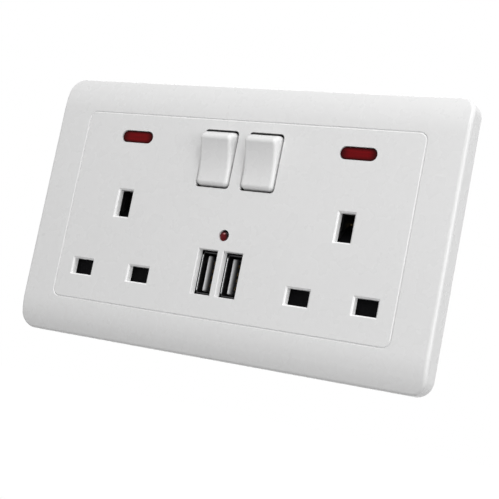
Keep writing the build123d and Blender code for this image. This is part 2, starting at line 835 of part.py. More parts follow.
os.makedirs("parts", exist_ok=True)
for name, piece in all_pieces().items():
    solids = piece if isinstance(piece, list) else [piece]
    export_step(Compound(children=solids) if len(solids) > 1 else solids[0], f"parts/{name}.step")
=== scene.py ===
import json
from math import asin, atan2, cos, pi, radians, sin, sqrt

import bmesh
import bpy
from mathutils import Matrix, Vector


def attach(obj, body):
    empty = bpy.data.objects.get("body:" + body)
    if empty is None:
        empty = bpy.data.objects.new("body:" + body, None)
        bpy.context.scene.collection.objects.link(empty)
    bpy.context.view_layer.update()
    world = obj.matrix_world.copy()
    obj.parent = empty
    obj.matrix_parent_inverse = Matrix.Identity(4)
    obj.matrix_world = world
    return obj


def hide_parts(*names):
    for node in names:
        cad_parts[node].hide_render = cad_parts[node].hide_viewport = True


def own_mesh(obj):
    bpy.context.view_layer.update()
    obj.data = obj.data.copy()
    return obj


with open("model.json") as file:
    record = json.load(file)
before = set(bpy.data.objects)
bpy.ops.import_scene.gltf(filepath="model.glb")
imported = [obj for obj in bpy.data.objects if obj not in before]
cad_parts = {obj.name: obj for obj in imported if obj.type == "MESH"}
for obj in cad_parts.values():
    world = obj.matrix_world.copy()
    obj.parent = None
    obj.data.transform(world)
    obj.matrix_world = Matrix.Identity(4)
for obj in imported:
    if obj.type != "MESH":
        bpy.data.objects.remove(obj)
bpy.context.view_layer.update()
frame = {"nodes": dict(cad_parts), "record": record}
scene = bpy.context.scene
nodes = frame["nodes"]
mm = 0.001  # lengths below are in millimetres
frontFace = -7.0
coverBack = -4.6
sides = {"left": -1, "right": 1}
backwards = Matrix.Rotation(-pi / 2, 3, "X")  # turns up into back
bodyOf = {n: b for b, group in frame["record"]["behaviour"]["bodies"].items() for n in group}
slotOf = {part["node"]: part["material_slot"] for part in frame["record"]["subparts"]}
print("frame loaded,", len(nodes), "nodes")


# Shader values that can be added, scaled and fed into any node.
class Shade:
    def __init__(self, tree, out=None):
        self.tree = tree
        self.out = out

    def node(self, kind, settings=None, inputs=None, output=0):
        made = self.tree.nodes.new(kind)
        for key, value in (settings or {}).items():
            setattr(made, key, value)
        for key, value in (inputs or {}).items():
            self.feed(made.inputs[key], value)
        return Shade(self.tree, made.outputs[output])

    def feed(self, socket, value):
        if isinstance(value, Shade):
            self.tree.links.new(value.out, socket)
        elif socket.type == "RGBA":
            socket.default_value = (*value, 1.0)
        else:
            socket.default_value = value

    def maths(self, operation, a, b=0.0):
        return self.node("ShaderNodeMath", {"operation": operation}, {0: a, 1: b})

    def __add__(self, other):
        return self.maths("ADD", self, other)

    def __radd__(self, other):
        return self.maths("ADD", other, self)

    def __sub__(self, other):
        return self.maths("SUBTRACT", self, other)

    def __rsub__(self, other):
        return self.maths("SUBTRACT", other, self)

    def __mul__(self, other):
        return self.maths("MULTIPLY", self, other)

    def __rmul__(self, other):
        return self.maths("MULTIPLY", other, self)

    def __truediv__(self, other):
        return self.maths("DIVIDE", self, other)

    def __rtruediv__(self, other):
        return self.maths("DIVIDE", other, self)

    def __gt__(self, other):
        return self.maths("GREATER_THAN", self, other)

    def __lt__(self, other):
        return self.maths("LESS_THAN", self, other)

    def __abs__(self):
        return self.maths("ABSOLUTE", self)

    def root(self):
        return self.maths("SQRT", self)

    def near(self, reach, *places):
        # One within reach of any of the places, and nothing beyond.
        return sum((abs(self - place) < reach for place in places), 0.0)

    def ramp(self, low, high, toLow=0.0, toHigh=1.0):
        ends = {1: low, 2: high, 3: toLow, 4: toHigh}
        return self.node("ShaderNodeMapRange", {"interpolation_type": "SMOOTHSTEP"}, {0: self, **ends})

    def tint(self, dark, light):
        return self.node("ShaderNodeMix", {"data_type": "RGBA"}, {0: self, 6: dark, 7: light}, 2)


def noise(place, scale, detail=3.0, roughness=0.5, stretch=None):
    # The scale is per metre.
    if stretch:
        place = place.node("ShaderNodeMapping", {}, {"Vector": place, "Scale": stretch})
    settings = {"Vector": place, "Scale": scale, "Detail": detail, "Roughness": roughness}
    return place.node("ShaderNodeTexNoise", {}, settings)


def axes(place):
    # The three coordinates, in millimetres.
    parts = place.node("ShaderNodeSeparateXYZ", {}, {0: place})
    return [Shade(place.tree, out) / mm for out in parts.out.node.outputs]


def bump(height, depth, strength):
    settings = {"Strength": strength, "Distance": depth * mm, "Height": height}
    return height.node("ShaderNodeBump", {}, settings)


def newMaterial(name, build, **fixed):
    material = bpy.data.materials.new(name)
    material.use_nodes = True
    tree = material.node_tree
    shader = tree.nodes["Principled BSDF"]
    place = Shade(tree).node("ShaderNodeTexCoord", {}, {}, "Object")
    for key, value in {**fixed, **build(place)}.items():
        place.feed(shader.inputs[key.replace("_", " ")], value)
    return material


# Plastics and metals, by their darkest and palest colour, range of roughness and scale of grain.
def mouldedPlastic(dark, light, rough, grain, depth):
    def build(place):
        cloud = noise(place, 45.0, 2.0)
        fine = noise(place, grain, 2.0, 0.6)
        return {
            "Base_Color": cloud.ramp(0.3, 0.7).tint(dark, light),
            "Roughness": noise(place, 160.0).ramp(0.25, 0.75, *rough),
            "Normal": bump(fine, depth, 0.6),
        }
    return build


def workedMetal(dark, light, rough, grain, stretch):
    def build(place):
        streak = noise(place, grain, 4.0, 0.6, stretch)
        stain = noise(place, 220.0, 3.0, 0.6)
        return {
            "Base_Color": (streak * 0.6 + stain * 0.4).ramp(0.3, 0.7).tint(dark, light),
            "Roughness": noise(place, grain * 1.7, 3.0, 0.5, stretch).ramp(0.2, 0.8, *rough),
            "Normal": bump(streak, 0.02, 0.4),
        }
    return build


def newPlastic(name, dark, light, rough, grain, depth, **fixed):
    return newMaterial(name, mouldedPlastic(dark, light, rough, grain, depth), **fixed)


def newMetal(name, dark, light, rough, grain, stretch=(1, 1, 1)):
    return newMaterial(name, workedMetal(dark, light, rough, grain, stretch), Metallic=1.0)


# Finishes that change from place to place on a piece.
lensLook = {
    "apart": 80.0, "height": 23.8, "ends": (2.8, 6.0, 1.0, 0.14), "rim": (0.7, 1.9, 1.0, 0.15),
    "dark": (0.010, 0.0006, 0.001), "red": (0.175, 0.0035, 0.0055),
}


def lensRed(place):
    # Painted shade darkens the window towards its ends and its rim, with faint level streaks in the moulding.
    s = lensLook
    x, _, z = axes(place)
    ends = abs(abs(x) - s["apart"] / 2).ramp(*s["ends"])
    rim = abs(z - s["height"]).ramp(*s["rim"])
    streak = noise(place, 1500.0, 2.0, 0.5, (0.08, 1, 1))
    # Painted light in the middle of the window, fading to painted shade at its ends and rim.
    glow = ends * rim * streak.ramp(0.3, 0.7, 0.75, 1.0)
    return {
        "Base_Color": glow.tint(s["dark"], s["red"]),
        "Roughness": streak.ramp(0.3, 0.7, 0.2, 0.3),
        "Normal": bump(streak, 0.02, 0.5),
    }


lightLook = {
    "glow": (-0.7, -5.7), "glowReach": (0.9, 2.1, 1.0, 0.0), "dark": (0.004, 0.0003, 0.0005),
    "red": (0.155, 0.003, 0.007), "paintedGlint": (0.1, -4.5), "glintReach": (0.2, 0.5, 1.0, 0.0), "glintFlat": 3.0,
    "pale": (0.5, 0.24, 0.24),
}


def lightRed(place):
    # A red dome with painted shade towards its upper right, and a small painted glint.
    s = lightLook
    x, _, z = axes(place)
    # Painted shade: the red fades to dark away from a point below and left of the middle.
    along, up = x - s["glow"][0], z - s["glow"][1]
    cloud = noise(place, 900.0, 2.0)
    glow = (along * along + up * up).root().ramp(*s["glowReach"]) * cloud.ramp(0.3, 0.7, 0.7, 1.0)
    # A small painted glint in pale pink.
    along, up = x - s["paintedGlint"][0], z - s["paintedGlint"][1]
    paintedGlint = (along * along + up * up * s["glintFlat"]).root().ramp(*s["glintReach"])
    return {
        "Base_Color": paintedGlint.tint(glow.tint(s["dark"], s["red"]), s["pale"]),
        "Roughness": cloud.ramp(0.3, 0.7, 0.08, 0.14),
        "Normal": bump(cloud, 0.01, 0.3),
    }


tongueLook = {
    "apart": 9.0, "across": (-1.2, 0.4, 1.0, 0.0), "dark": (0.06, 0.06, 0.062), "pale": (0.85, 0.85, 0.86),
}


def tongueGrey(place):
    # Painted shade: each tongue is pale along its left side and dark along its right.
    s = tongueLook
    x = axes(place)[0]
    across = x - s["apart"] * (x > 0.0) + s["apart"] / 2
    fine = noise(place, 2000.0, 2.0, 0.6)
    shade = across.ramp(*s["across"]) * fine.ramp(0.2, 0.8, 0.9, 1.0)
    return {
        "Base_Color": shade.tint(s["dark"], s["pale"]),
        "Roughness": fine.ramp(0.3, 0.7, 0.4, 0.5),
        "Normal": bump(fine, 0.02, 0.6),
    }


sleeveLook = {
    "middle": 6.8, "stripe": (2.6, 2.7), "dark": (0.02, 0.03, 0.06), "blue": (0.03, 0.045, 0.09),
    "pale": (0.42, 0.44, 0.48),
}


def sleeveBlue(place):
    # A dark sleeve with a pale stripe down one side.
    s = sleeveLook
    stripe = (axes(place)[0] - s["middle"]).ramp(*s["stripe"])
    cloud = noise(place, 300.0, 2.0)
    return {
        "Base_Color": stripe.tint(cloud.tint(s["dark"], s["blue"]), s["pale"]),
        "Roughness": cloud.ramp(0.3, 0.7, 0.26, 0.38),
        "Normal": bump(noise(place, 1200.0), 0.01, 0.5),
    }


def woundTape(place):
    lap = noise(place, 700.0, 2.0, 0.5, (0.1, 1, 1))
    return {
        "Base_Color": lap.ramp(0.3, 0.7).tint((0.58, 0.36, 0.05), (0.78, 0.52, 0.09)),
        "Roughness": lap.ramp(0.3, 0.7, 0.22, 0.4),
        "Normal": bump(lap, 0.06, 0.6),
    }


glossWhite = mouldedPlastic((0.790, 0.790, 0.790), (0.797, 0.797, 0.797), (0.24, 0.32), 2600.0, 0.004)
# Bands of painted light on the cover, and a band of painted shade in each rocker opening.
coverBands = {
    "walls": {"middle": 0.0, "wide": 62.0, "heights": (0.0,), "tall": 32.0, "front": -6.69},
    "groove": {"middle": 0.0, "wide": 60.5, "heights": (31.2,), "tall": 0.18, "front": -6.98},
    "sills": {"middle": 40.0, "wide": 18.0, "heights": (-3.13, -23.45), "tall": 0.24, "front": -6.98},
    "gapShade": {"middle": 8.1, "wide": 6.0, "heights": (9.5, 27.9), "tall": 0.5, "front": -6.9},
}


def band(place, middle, wide, heights, tall, front):
    # One inside level bands that start behind a depth, the same on the left and the right.
    x, y, z = axes(place)
    return abs(x).near(wide, middle) * z.near(tall, *heights) * (y > front)


def coverWhite(place):
    # Painted light makes the walls and sills of the openings and the groove above the panel palest,
    # and painted shade makes the level walls of each rocker opening dark.
    look = glossWhite(place)
    walls, groove, sills, gapShade = (band(place, **sizes) for sizes in coverBands.values())
    pale = (walls + groove + sills).tint(look["Base_Color"], (0.95, 0.95, 0.95))
    look["Base_Color"] = gapShade.tint(pale, (0.03, 0.03, 0.03))
    return look


# One finish for each slot of the record, and a few for small pieces.
finishes = {
    "cover_plastic": newMaterial("coverPlastic", coverWhite),
    "rocker_plastic": newMaterial("rockerPlastic", glossWhite),
    "carrier_plastic": newPlastic(
        "carrierPlastic", (0.016, 0.016, 0.017), (0.024, 0.024, 0.025), (0.42, 0.56), 1800.0, 0.04,
        Specular_IOR_Level=0.3),
    "shutter_plastic": newPlastic(
        "shutterPlastic", (0.002, 0.002, 0.0025), (0.003, 0.003, 0.0035), (0.5, 0.65), 1500.0, 0.04,
        Specular_IOR_Level=0.05),
    "lens_plastic": newMaterial("lensPlastic", lensRed, Specular_IOR_Level=0.06),
    "led_plastic": newMaterial("ledPlastic", lightRed, Specular_IOR_Level=0.1),
    "lamp_glass": newPlastic(
        "lampGlass", (0.88, 0.86, 0.84), (0.92, 0.9, 0.88), (0.03, 0.08), 400.0, 0.01, Alpha=0.35),
    "brass": newMetal(
        "stampedBrass", (0.66, 0.44, 0.17), (0.80, 0.58, 0.28), (0.24, 0.4), 900.0, (0.3, 1, 1)),
    "screw_steel": newMetal("zincSteel", (0.52, 0.52, 0.54), (0.68, 0.68, 0.68), (0.22, 0.36), 1300.0),
    "spring_steel": newMetal("springSteel", (0.42, 0.42, 0.44), (0.58, 0.58, 0.6), (0.2, 0.34), 1500.0),
    "plunger_plastic": newPlastic(
        "plungerPlastic", (0.80, 0.78, 0.72), (0.86, 0.84, 0.79), (0.4, 0.5), 1800.0, 0.03),
    # The shell's plating is painted dark, as painted shade.
    "usb_metal": newMetal(
        "shadedPlatedShell", (0.045, 0.045, 0.047), (0.08, 0.08, 0.083), (0.34, 0.48), 1200.0, (1, 0.2, 1)),
    "usb_plastic": newMaterial("tonguePlastic", tongueGrey, Specular_IOR_Level=0.15),
    "usb_gold": newMetal("contactGold", (0.14, 0.09, 0.036), (0.21, 0.14, 0.053), (0.34, 0.46), 1500.0),
    "board": newPlastic("boardLaminate", (0.02, 0.17, 0.06), (0.035, 0.24, 0.09), (0.3, 0.42), 900.0, 0.03),
    "ferrite": newPlastic("ferriteCore", (0.05, 0.047, 0.045), (0.10, 0.095, 0.09), (0.55, 0.7), 700.0, 0.06),
    "can": newMaterial("canSleeve", sleeveBlue),
}
extras = {
    "silver": newMetal("contactSilver", (0.74, 0.73, 0.70), (0.86, 0.85, 0.82), (0.2, 0.32), 1400.0),
    "tin": newMetal("solderTin", (0.60, 0.61, 0.62), (0.76, 0.77, 0.78), (0.18, 0.34), 900.0),
    "tape": newMaterial("windingTape", woundTape),
    "chip": newPlastic("chipResin", (0.014, 0.014, 0.015), (0.022, 0.022, 0.023), (0.4, 0.55), 1500.0, 0.03),
    "tan": newPlastic("chipCeramic", (0.42, 0.30, 0.18), (0.52, 0.38, 0.24), (0.4, 0.5), 900.0, 0.02),
}
for name, node in nodes.items():
    node.data.materials.clear()
    node.data.materials.append(finishes[slotOf[name]])
print("finishes made,", len(finishes) + len(extras))


# Making pieces.
def newPiece(name, shape, node, sharp=32.0, soften=None, stands=True, more=(), slot=None):
    for face in shape.faces:
        face.smooth = True
    for edge in shape.edges:
        edge.smooth = len(edge.link_faces) == 2 and edge.calc_face_angle() < radians(sharp)
    mesh = bpy.data.meshes.new(name)
    shape.to_mesh(mesh)
    shape.free()
    for finish in (finishes[slot or slotOf[node]], *more):
        mesh.materials.append(finish)
    piece = bpy.data.objects.new(name, mesh)
    scene.collection.objects.link(piece)
    if soften:
        edges = piece.modifiers.new("softEdges", "BEVEL")
        edges.limit_method = "ANGLE"
        edges.angle_limit = radians(sharp)
        edges.width = soften * mm
        edges.segments = 2
        edges.use_clamp_overlap = True
    weights = piece.modifiers.new("evenNormals", "WEIGHTED_NORMAL")
    weights.keep_sharp = not soften
    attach(piece, bodyOf[node])
    if stands:
        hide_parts(node)
    return piece


def mergedCopy(node, flat=0.5):
    shape = bmesh.new()
    shape.from_mesh(nodes[node].data)
    bmesh.ops.remove_doubles(shape, verts=shape.verts, dist=0.002 * mm)
    if flat:
        bmesh.ops.dissolve_limit(shape, angle_limit=radians(flat), verts=shape.verts[:], edges=shape.edges[:])
    return shape


def onlyVerts(geom):
    return [part for part in geom if isinstance(part, bmesh.types.BMVert)]


def onlyFaces(geom):
    return [part for part in geom if isinstance(part, bmesh.types.BMFace)]


def vertsOf(faces):
    return list({vert for face in faces for vert in face.verts})


def edgesOf(faces):
    return list({edge for face in faces for edge in face.edges})


def swing(shape, verts, centre, angle, steps):
    # An arc about a line along X.
    spun = bmesh.ops.spin(
        shape, geom=verts, cent=Vector(centre) * mm, axis=(1, 0, 0), angle=angle, steps=steps,
        use_merge=False)
    return onlyVerts(spun["geom_last"])


def push(shape, faces, vector):
    out = bmesh.ops.extrude_face_region(shape, geom=faces)["geom"]
    bmesh.ops.translate(shape, verts=onlyVerts(out), vec=Vector(vector) * mm)
    bmesh.ops.delete(shape, geom=faces, context="FACES_ONLY")
    return onlyFaces(out)


def roundOff(shape, edges, width, segments):
    return bmesh.ops.bevel(
        shape, geom=edges, offset=width * mm, offset_type="OFFSET", affect="EDGES", segments=segments,
        profile=0.5, material=-1, clamp_overlap=True)["faces"]


def lay(shape, verts, place, turn=None):
    if turn:
        bmesh.ops.rotate(shape, verts=verts, cent=(0, 0, 0), matrix=turn)
    bmesh.ops.translate(shape, verts=verts, vec=Vector(place) * mm)


def addBlock(shape, low, high, edge=0.0):
    verts = bmesh.ops.create_cube(shape, size=mm)["verts"]
    faces = list({f for v in verts for f in v.link_faces})
    bmesh.ops.scale(shape, verts=verts, vec=[b - a for a, b in zip(low, high)])
    lay(shape, verts, [(a + b) / 2 for a, b in zip(low, high)])
    if edge:
        faces += roundOff(shape, edgesOf(faces), edge, 2)
    return list({f for f in faces if f.is_valid})


def addStrip(shape, line, low, high, thick):
    # A bent strip through (x, y) points, from one height to another.
    before = set(shape.faces)
    verts = [shape.verts.new(Vector((x, y, low)) * mm) for x, y in line]
    edges = [shape.edges.new(pair) for pair in zip(verts, verts[1:])]
    strip = bmesh.ops.extrude_edge_only(shape, edges=edges)["geom"]
    lay(shape, onlyVerts(strip), (0, 0, high - low))
    bmesh.ops.solidify(shape, geom=onlyFaces(strip), thickness=thick * mm)
    return [f for f in shape.faces if f not in before]


def addTurned(shape, profile, steps):
    # A line of (radius, height) points turned about Z.
    line = [shape.verts.new(Vector((radius, 0, height)) * mm) for radius, height in profile]
    edges = [shape.edges.new(pair) for pair in zip(line, line[1:])]
    before = set(shape.verts) - set(line)
    bmesh.ops.spin(
        shape, geom=line + edges, cent=(0, 0, 0), axis=(0, 0, 1), angle=2 * pi, steps=steps, use_merge=True)
    verts = [v for v in shape.verts if v not in before]
    bmesh.ops.remove_doubles(shape, verts=verts, dist=0.003 * mm)
    bmesh.ops.recalc_face_normals(shape, faces=shape.faces[:])
    return [v for v in shape.verts if v not in before]


# The moulded front, with even shading over its crown.
newPiece("front_cover_dressed", mergedCopy("front_cover", 0), "front_cover")

# Moulded and stamped nodes, and how far their edges are softened.
edgeSizes = {
    "chassis": 0.15, "earth_terminal": 0.2, "neutral_terminal": 0.2, "live_terminal": 0.2,
    "terminal_screws": 0.15, "earth_bar": 0.12, "neutral_bar": 0.12, "live_bar": 0.12,
    "usb_circuit_board": 0.1, "left_shutter": 0.2, "right_shutter": 0.2, "left_usb_contacts": 0.06,
    "right_usb_contacts": 0.06,
}
for node, width in edgeSizes.items():
    newPiece(node + "_dressed", mergedCopy(node), node, soften=width)


# Live and moving contacts: brass with silver rivets.
rivetSizes = {
    "apart": 16.2, "height": 25.0, "soften": 0.1, "live": {"reach": 1.7, "front": 10.1, "back": 10.95},
    "moving": {"reach": 1.55, "above": 22.0, "corners": 8},
}


def makeContacts(side, s):
    across = sides[side] * s["apart"] / 2
    rivet = s["live"]
    live = mergedCopy(side + "_live_contact")
    for face in live.faces:
        middle = face.calc_center_median() / mm
        away = max(abs(middle.x - across), abs(middle.z - s["height"]))
        face.material_index = int(away < rivet["reach"] and rivet["front"] < middle.y < rivet["back"])
    # The moving one's rivet is a round face that looks back.
    rivet = s["moving"]
    moving = mergedCopy(side + "_moving_contact")
    for face in moving.faces:
        middle = face.calc_center_median() / mm
        inPlace = abs(middle.x - across) < rivet["reach"] and middle.z > rivet["above"]
        face.material_index = int(inPlace and len(face.verts) > rivet["corners"] and face.normal.y > 0.9)
    for node, shape in ((side + "_live_contact", live), (side + "_moving_contact", moving)):
        newPiece(node + "_dressed", shape, node, soften=s["soften"], more=[extras["silver"]])


for side in sides:
    makeContacts(side, rivetSizes)


# The rear cover, with a raised collar round each driver hole and shallow moulding marks.
rearSizes = {
    "face": 26.1, "soften": 0.25, "collars": [(-22, 19.0), (0, 19.0), (22, 19.0)], "collar": (3.5, 4.7, 0.6),
    "marks": [(-48, 22), (48, 22), (-48, -22), (48, -22), (-30, -5), (30, -5), (-18, -24), (18, -24)],
    "mark": (2.6, 0.12),
}


def makeRear(s):
    newPiece("rear_cover_dressed", mergedCopy("rear_cover"), "rear_cover", soften=s["soften"])
    shape = bmesh.new()
    inside, outside, lift = s["collar"]
    soft = lift / 3
    profile = [(inside, 0), (inside, lift), (outside - soft, lift)]
    profile += [(outside, lift - soft), (outside + soft, 0)]
    for x, z in s["collars"]:
        lay(shape, addTurned(shape, profile, 48), (x, s["face"], z), backwards)
    radius, lift = s["mark"]
    profile = [(radius + lift, 0), (radius, lift), (radius - 2 * lift, lift)]
    profile += [(radius - 3 * lift, lift / 3), (0, lift / 3)]
    for x, z in s["marks"]:
        lay(shape, addTurned(shape, profile, 40), (x, s["face"], z), backwards)
    newPiece("rear_cover_marks", shape, "rear_cover", stands=False)


makeRear(rearSizes)


# Case screws: pan heads with a cross recess, each stopped at its own angle.
screwSizes = {
    "places": [(-40, -12.2, 20), (-40, 17.0, 65), (40, -12.2, 48), (40, 17.0, 5)], "seat": 26.1,
    "radius": 2.8, "height": 1.5, "dome": 0.95, "arm": 1.55, "half": 0.36, "depth": 1.0, "taper": 0.55,
    "shank": 1.4, "tip": 17.5, "pitch": 1.1, "thread": 0.3,
}


def makeScrew(s):
    shape = bmesh.new()
    bmesh.ops.create_circle(shape, cap_ends=True, segments=48, radius=s["radius"] * mm)
    top = push(shape, shape.faces[:], (0, 0, s["height"]))
    roundOff(shape, edgesOf(top), s["dome"], 5)
    level = max(f.calc_center_median().z for f in shape.faces)

    def topFaces():
        return [f for f in shape.faces if abs(f.calc_center_median().z - level) < 0.001 * mm]

    # The flat top is cut along the sides and ends of the cross, and the cross is sunk.
    for axis in ((1, 0, 0), (0, 1, 0)):
        for offset in (-s["arm"], -s["half"], s["half"], s["arm"]):
            flat = topFaces()
            geom = flat + edgesOf(flat) + vertsOf(flat)
            bmesh.ops.bisect_plane(shape, geom=geom, plane_co=Vector(axis) * offset * mm, plane_no=axis)
    cross = []
    for face in topFaces():
        near, far = sorted(abs(value) / mm for value in face.calc_center_median().xy)
        if near < s["half"] and far < s["arm"]:
            cross.append(face)
    floor = push(shape, cross, (0, 0, -s["depth"]))
    bmesh.ops.scale(shape, verts=vertsOf(floor), vec=(s["taper"], s["taper"], 1))
    # The shank has a ring for each turn of its thread.
    profile = [(s["shank"], 0)]
    for step in range(int((s["seat"] - s["tip"]) / s["pitch"])):
        low = -(step + 0.5) * s["pitch"]
        profile += [(s["shank"] - s["thread"], low), (s["shank"], low - s["pitch"] / 2)]
    profile += [(0, s["tip"] - s["seat"])]
    addTurned(shape, profile, 24)
    return shape


def makeScrews(s):
    shape = bmesh.new()
    for x, z, angle in s["places"]:
        one = makeScrew(s)
        lay(one, one.verts[:], (0, 0, 0), Matrix.Rotation(radians(angle), 3, "Z"))
        lay(one, one.verts[:], (x, s["seat"], z), backwards)
        part = bpy.data.meshes.new("screwPart")
        one.to_mesh(part)
        one.free()
        shape.from_mesh(part)
        bpy.data.meshes.remove(part)
    newPiece("case_screws_dressed", shape, "case_screws", 40.0)


makeScrews(screwSizes)
print("housing dressed")


# Switch rockers: a hollow face between two ends that turn about the pivot.
rockerSizes = {
    "apart": 16.2, "pivot": (-4.9, 18.7), "tilt": 12.0, "width": 11.3, "rise": 4.7, "reach": 8.9007,
    "hollow": 1.1, "back": 1.3, "corner": 1.35, "edge": 1.1, "firstStep": 0.2, "arcSteps": 8, "roundSteps": 6,
    "wall": 1.4, "floor": -2.2, "pin": {"radius": 0.8, "length": 0.8},
    "boss": {"outer": 2.6, "bore": 1.55, "end": 9.261, "edge": 0.2, "floor": 1.2},
}


def rockerFrame(side, s):
    # Where the pivot is, and the tilt at rest.
    return Vector((sides[side] * s["apart"] / 2, *s["pivot"])), Matrix.Rotation(radians(s["tilt"]), 3, "X")


def makeRockerShell(s):
    end = sqrt(s["reach"] ** 2 - s["rise"] ** 2)
    heel = sqrt(s["reach"] ** 2 - s["back"] ** 2)
    radius = (end ** 2 + s["hollow"] ** 2) / (2 * s["hollow"])
    faceCentre = s["hollow"] - s["rise"] - radius
    sweep = atan2(end, -s["rise"]) - atan2(heel, s["back"])
    # One flank, drawn up the face, round the upper end, down the back and round the lower end.
    shape = bmesh.new()
    first = shape.verts.new(Vector((-s["width"] / 2, -s["rise"], -end)) * mm)
    upper = swing(shape, [first], (0, faceCentre, 0), 2 * asin(end / radius), s["arcSteps"])
    upper = swing(shape, upper, (0, 0, 0), -s["firstStep"], 1)
    upper = swing(shape, upper, (0, 0, 0), s["firstStep"] - sweep, s["arcSteps"])
    lower = bmesh.ops.extrude_vert_indiv(shape, verts=upper)["verts"]
    lay(shape, lower, (0, 0, -2 * heel))
    lower = swing(shape, lower, (0, 0, 0), s["firstStep"] - sweep, s["arcSteps"])
    swing(shape, lower, (0, 0, 0), -s["firstStep"], 1)
    bmesh.ops.remove_doubles(shape, verts=shape.verts, dist=0.01 * mm)
    flank = bmesh.ops.contextual_create(shape, geom=shape.edges[:])["faces"]
    push(shape, flank, (s["width"], 0, 0))
    bmesh.ops.holes_fill(shape, edges=shape.edges[:], sides=0)
    bmesh.ops.recalc_face_normals(shape, faces=shape.faces[:])

    def atCorner(edge):
        # Where an end meets a flank, nearly at a right angle.
        a, b = (vert.co for vert in edge.verts)
        onEnd = min(a.yz.length, b.yz.length) > (s["reach"] - 0.1) * mm and (a - b).length < end / 2 * mm
        return onEnd and abs(a.x - b.x) < 0.1 * mm and edge.calc_face_angle(0) > 1.2

    def onFace(face):
        centre = Vector((0, faceCentre, 0)) * mm
        return all(abs((v.co - centre).yz.length - radius * mm) < 0.02 * mm for v in face.verts)

    def atRim(edge):
        # Where the face meets what is round it.
        return len(edge.link_faces) == 2 and onFace(edge.link_faces[0]) != onFace(edge.link_faces[1])

    roundOff(shape, [e for e in shape.edges if atCorner(e)], s["corner"], s["roundSteps"])
    roundOff(shape, [e for e in shape.edges if atRim(e)], s["edge"], s["roundSteps"])
    back = [f for f in shape.faces if f.normal.y > 0.99 and f.calc_center_median().y > (s["back"] - 0.1) * mm]
    bmesh.ops.inset_region(shape, faces=back, thickness=s["wall"] * mm, use_even_offset=True)
    push(shape, back, (0, s["floor"] - s["back"], 0))
    return shape


def makeRocker(side, s):
    shape = makeRockerShell(s)
    # The boss that guides the plunger, and a pin on each flank.
    boss, pin = s["boss"], s["pin"]
    outer, bore, bossEnd = boss["outer"], boss["bore"], boss["end"]
    hollow = s["floor"] + boss["floor"]
    profile = [(outer, s["floor"]), (outer, bossEnd - boss["edge"]), (outer - boss["edge"], bossEnd)]
    profile += [(bore, bossEnd), (bore, hollow), (0, hollow)]
    lay(shape, addTurned(shape, profile, 32), (0, 0, 0), backwards)
    for sign in (-1, 1):
        verts = bmesh.ops.create_cone(
            shape, cap_ends=True, segments=28, radius1=pin["radius"] * mm, radius2=pin["radius"] * mm,
            depth=pin["length"] * mm, matrix=Matrix.Rotation(pi / 2, 4, "Y"))["verts"]
        lay(shape, verts, (sign * (s["width"] + pin["length"]) / 2, 0, 0))
    bmesh.ops.recalc_face_normals(shape, faces=shape.faces[:])
    lay(shape, shape.verts[:], *rockerFrame(side, s))
    newPiece(side + "_rocker_dressed", shape, side + "_rocker")


# Plungers: a pin with a round nose, in the rocker's boss.
plungerSizes = {"back": 5.261, "end": 13.561, "radius": 1.5, "heel": 0.25, "nose": 0.9, "noseSteps": 6}


def makePlunger(side, s, rocker):
    radius, nose, heel = s["radius"], s["nose"], s["heel"]
    profile = [(0, s["back"]), (radius - heel, s["back"]), (radius, s["back"] + heel)]
    for step in range(s["noseSteps"] + 1):
        angle = pi / 2 * step / s["noseSteps"]
        profile.append((radius - nose + nose * cos(angle), s["end"] - nose + nose * sin(angle)))
    profile.append((0, s["end"]))
    shape = bmesh.new()
    lay(shape, addTurned(shape, profile, 40), (0, 0, 0), backwards)
    lay(shape, shape.verts[:], *rockerFrame(side, rocker))
    newPiece(side + "_plunger_dressed", shape, side + "_plunger")


# Springs of round wire with closed ends.
springSizes = {
    "plunger": {"radius": 1.1, "wire": 0.36, "turns": 7, "length": 5.46, "start": -0.6, "travel": 0.8},
    "shutter": {
        "radius": 0.8, "wire": 0.36, "turns": 13, "length": 10.2, "start": (40.0, -3.2, -19.625),
        "travel": 6.5,
    },
}


def makeCoil(s):
    shape = bmesh.new()
    ring = bmesh.ops.create_circle(
        shape, segments=8, radius=s["wire"] / 2 * mm, matrix=backwards.to_4x4())["verts"]
    lay(shape, ring, (s["radius"], 0, 0))
    stepsPerTurn = 18
    rise = s["length"] / (s["turns"] - 1)
    geom = shape.verts[:] + shape.edges[:]
    for turns, climb in ((0.5, 0.0), (s["turns"] - 1, rise), (0.5, 0.0)):
        spun = bmesh.ops.spin(
            shape, geom=geom, cent=(0, 0, 0), axis=(0, 0, 1), angle=2 * pi * turns,
            steps=int(turns * stepsPerTurn), dvec=(0, 0, climb / stepsPerTurn * mm), use_merge=False)
        geom = spun["geom_last"]
    bmesh.ops.holes_fill(shape, edges=[e for e in shape.edges if e.is_boundary], sides=0)
    bmesh.ops.recalc_face_normals(shape, faces=shape.faces[:])
    return shape


def makePlungerSpring(side, s, rocker):
    pivot, tilt = rockerFrame(side, rocker)
    shape = makeCoil(s)
    lay(shape, shape.verts[:], (0, s["start"], 0), backwards)
    lay(shape, shape.verts[:], pivot, tilt)
    piece = newPiece(side + "_plunger_spring_dressed", shape, side + "_plunger_spring", 60.0)
    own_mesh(piece)


def makeShutterSpring(side, s):
    across, depth, height = s["start"]
    foot = Vector((sides[side] * across, depth, height))
    shape = makeCoil(s)
    lay(shape, shape.verts[:], foot)
    piece = newPiece(side + "_shutter_spring_dressed", shape, side + "_shutter_spring", 60.0)
    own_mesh(piece)


# Neon lenses: a stadium-shaped window on a wider flange.
lensSizes = {
    "apart": 80.0, "height": 23.8, "width": 12.1, "tall": 3.9, "flange": 0.8, "sunk": 0.3, "edge": 0.35,
    "segments": 48,
}


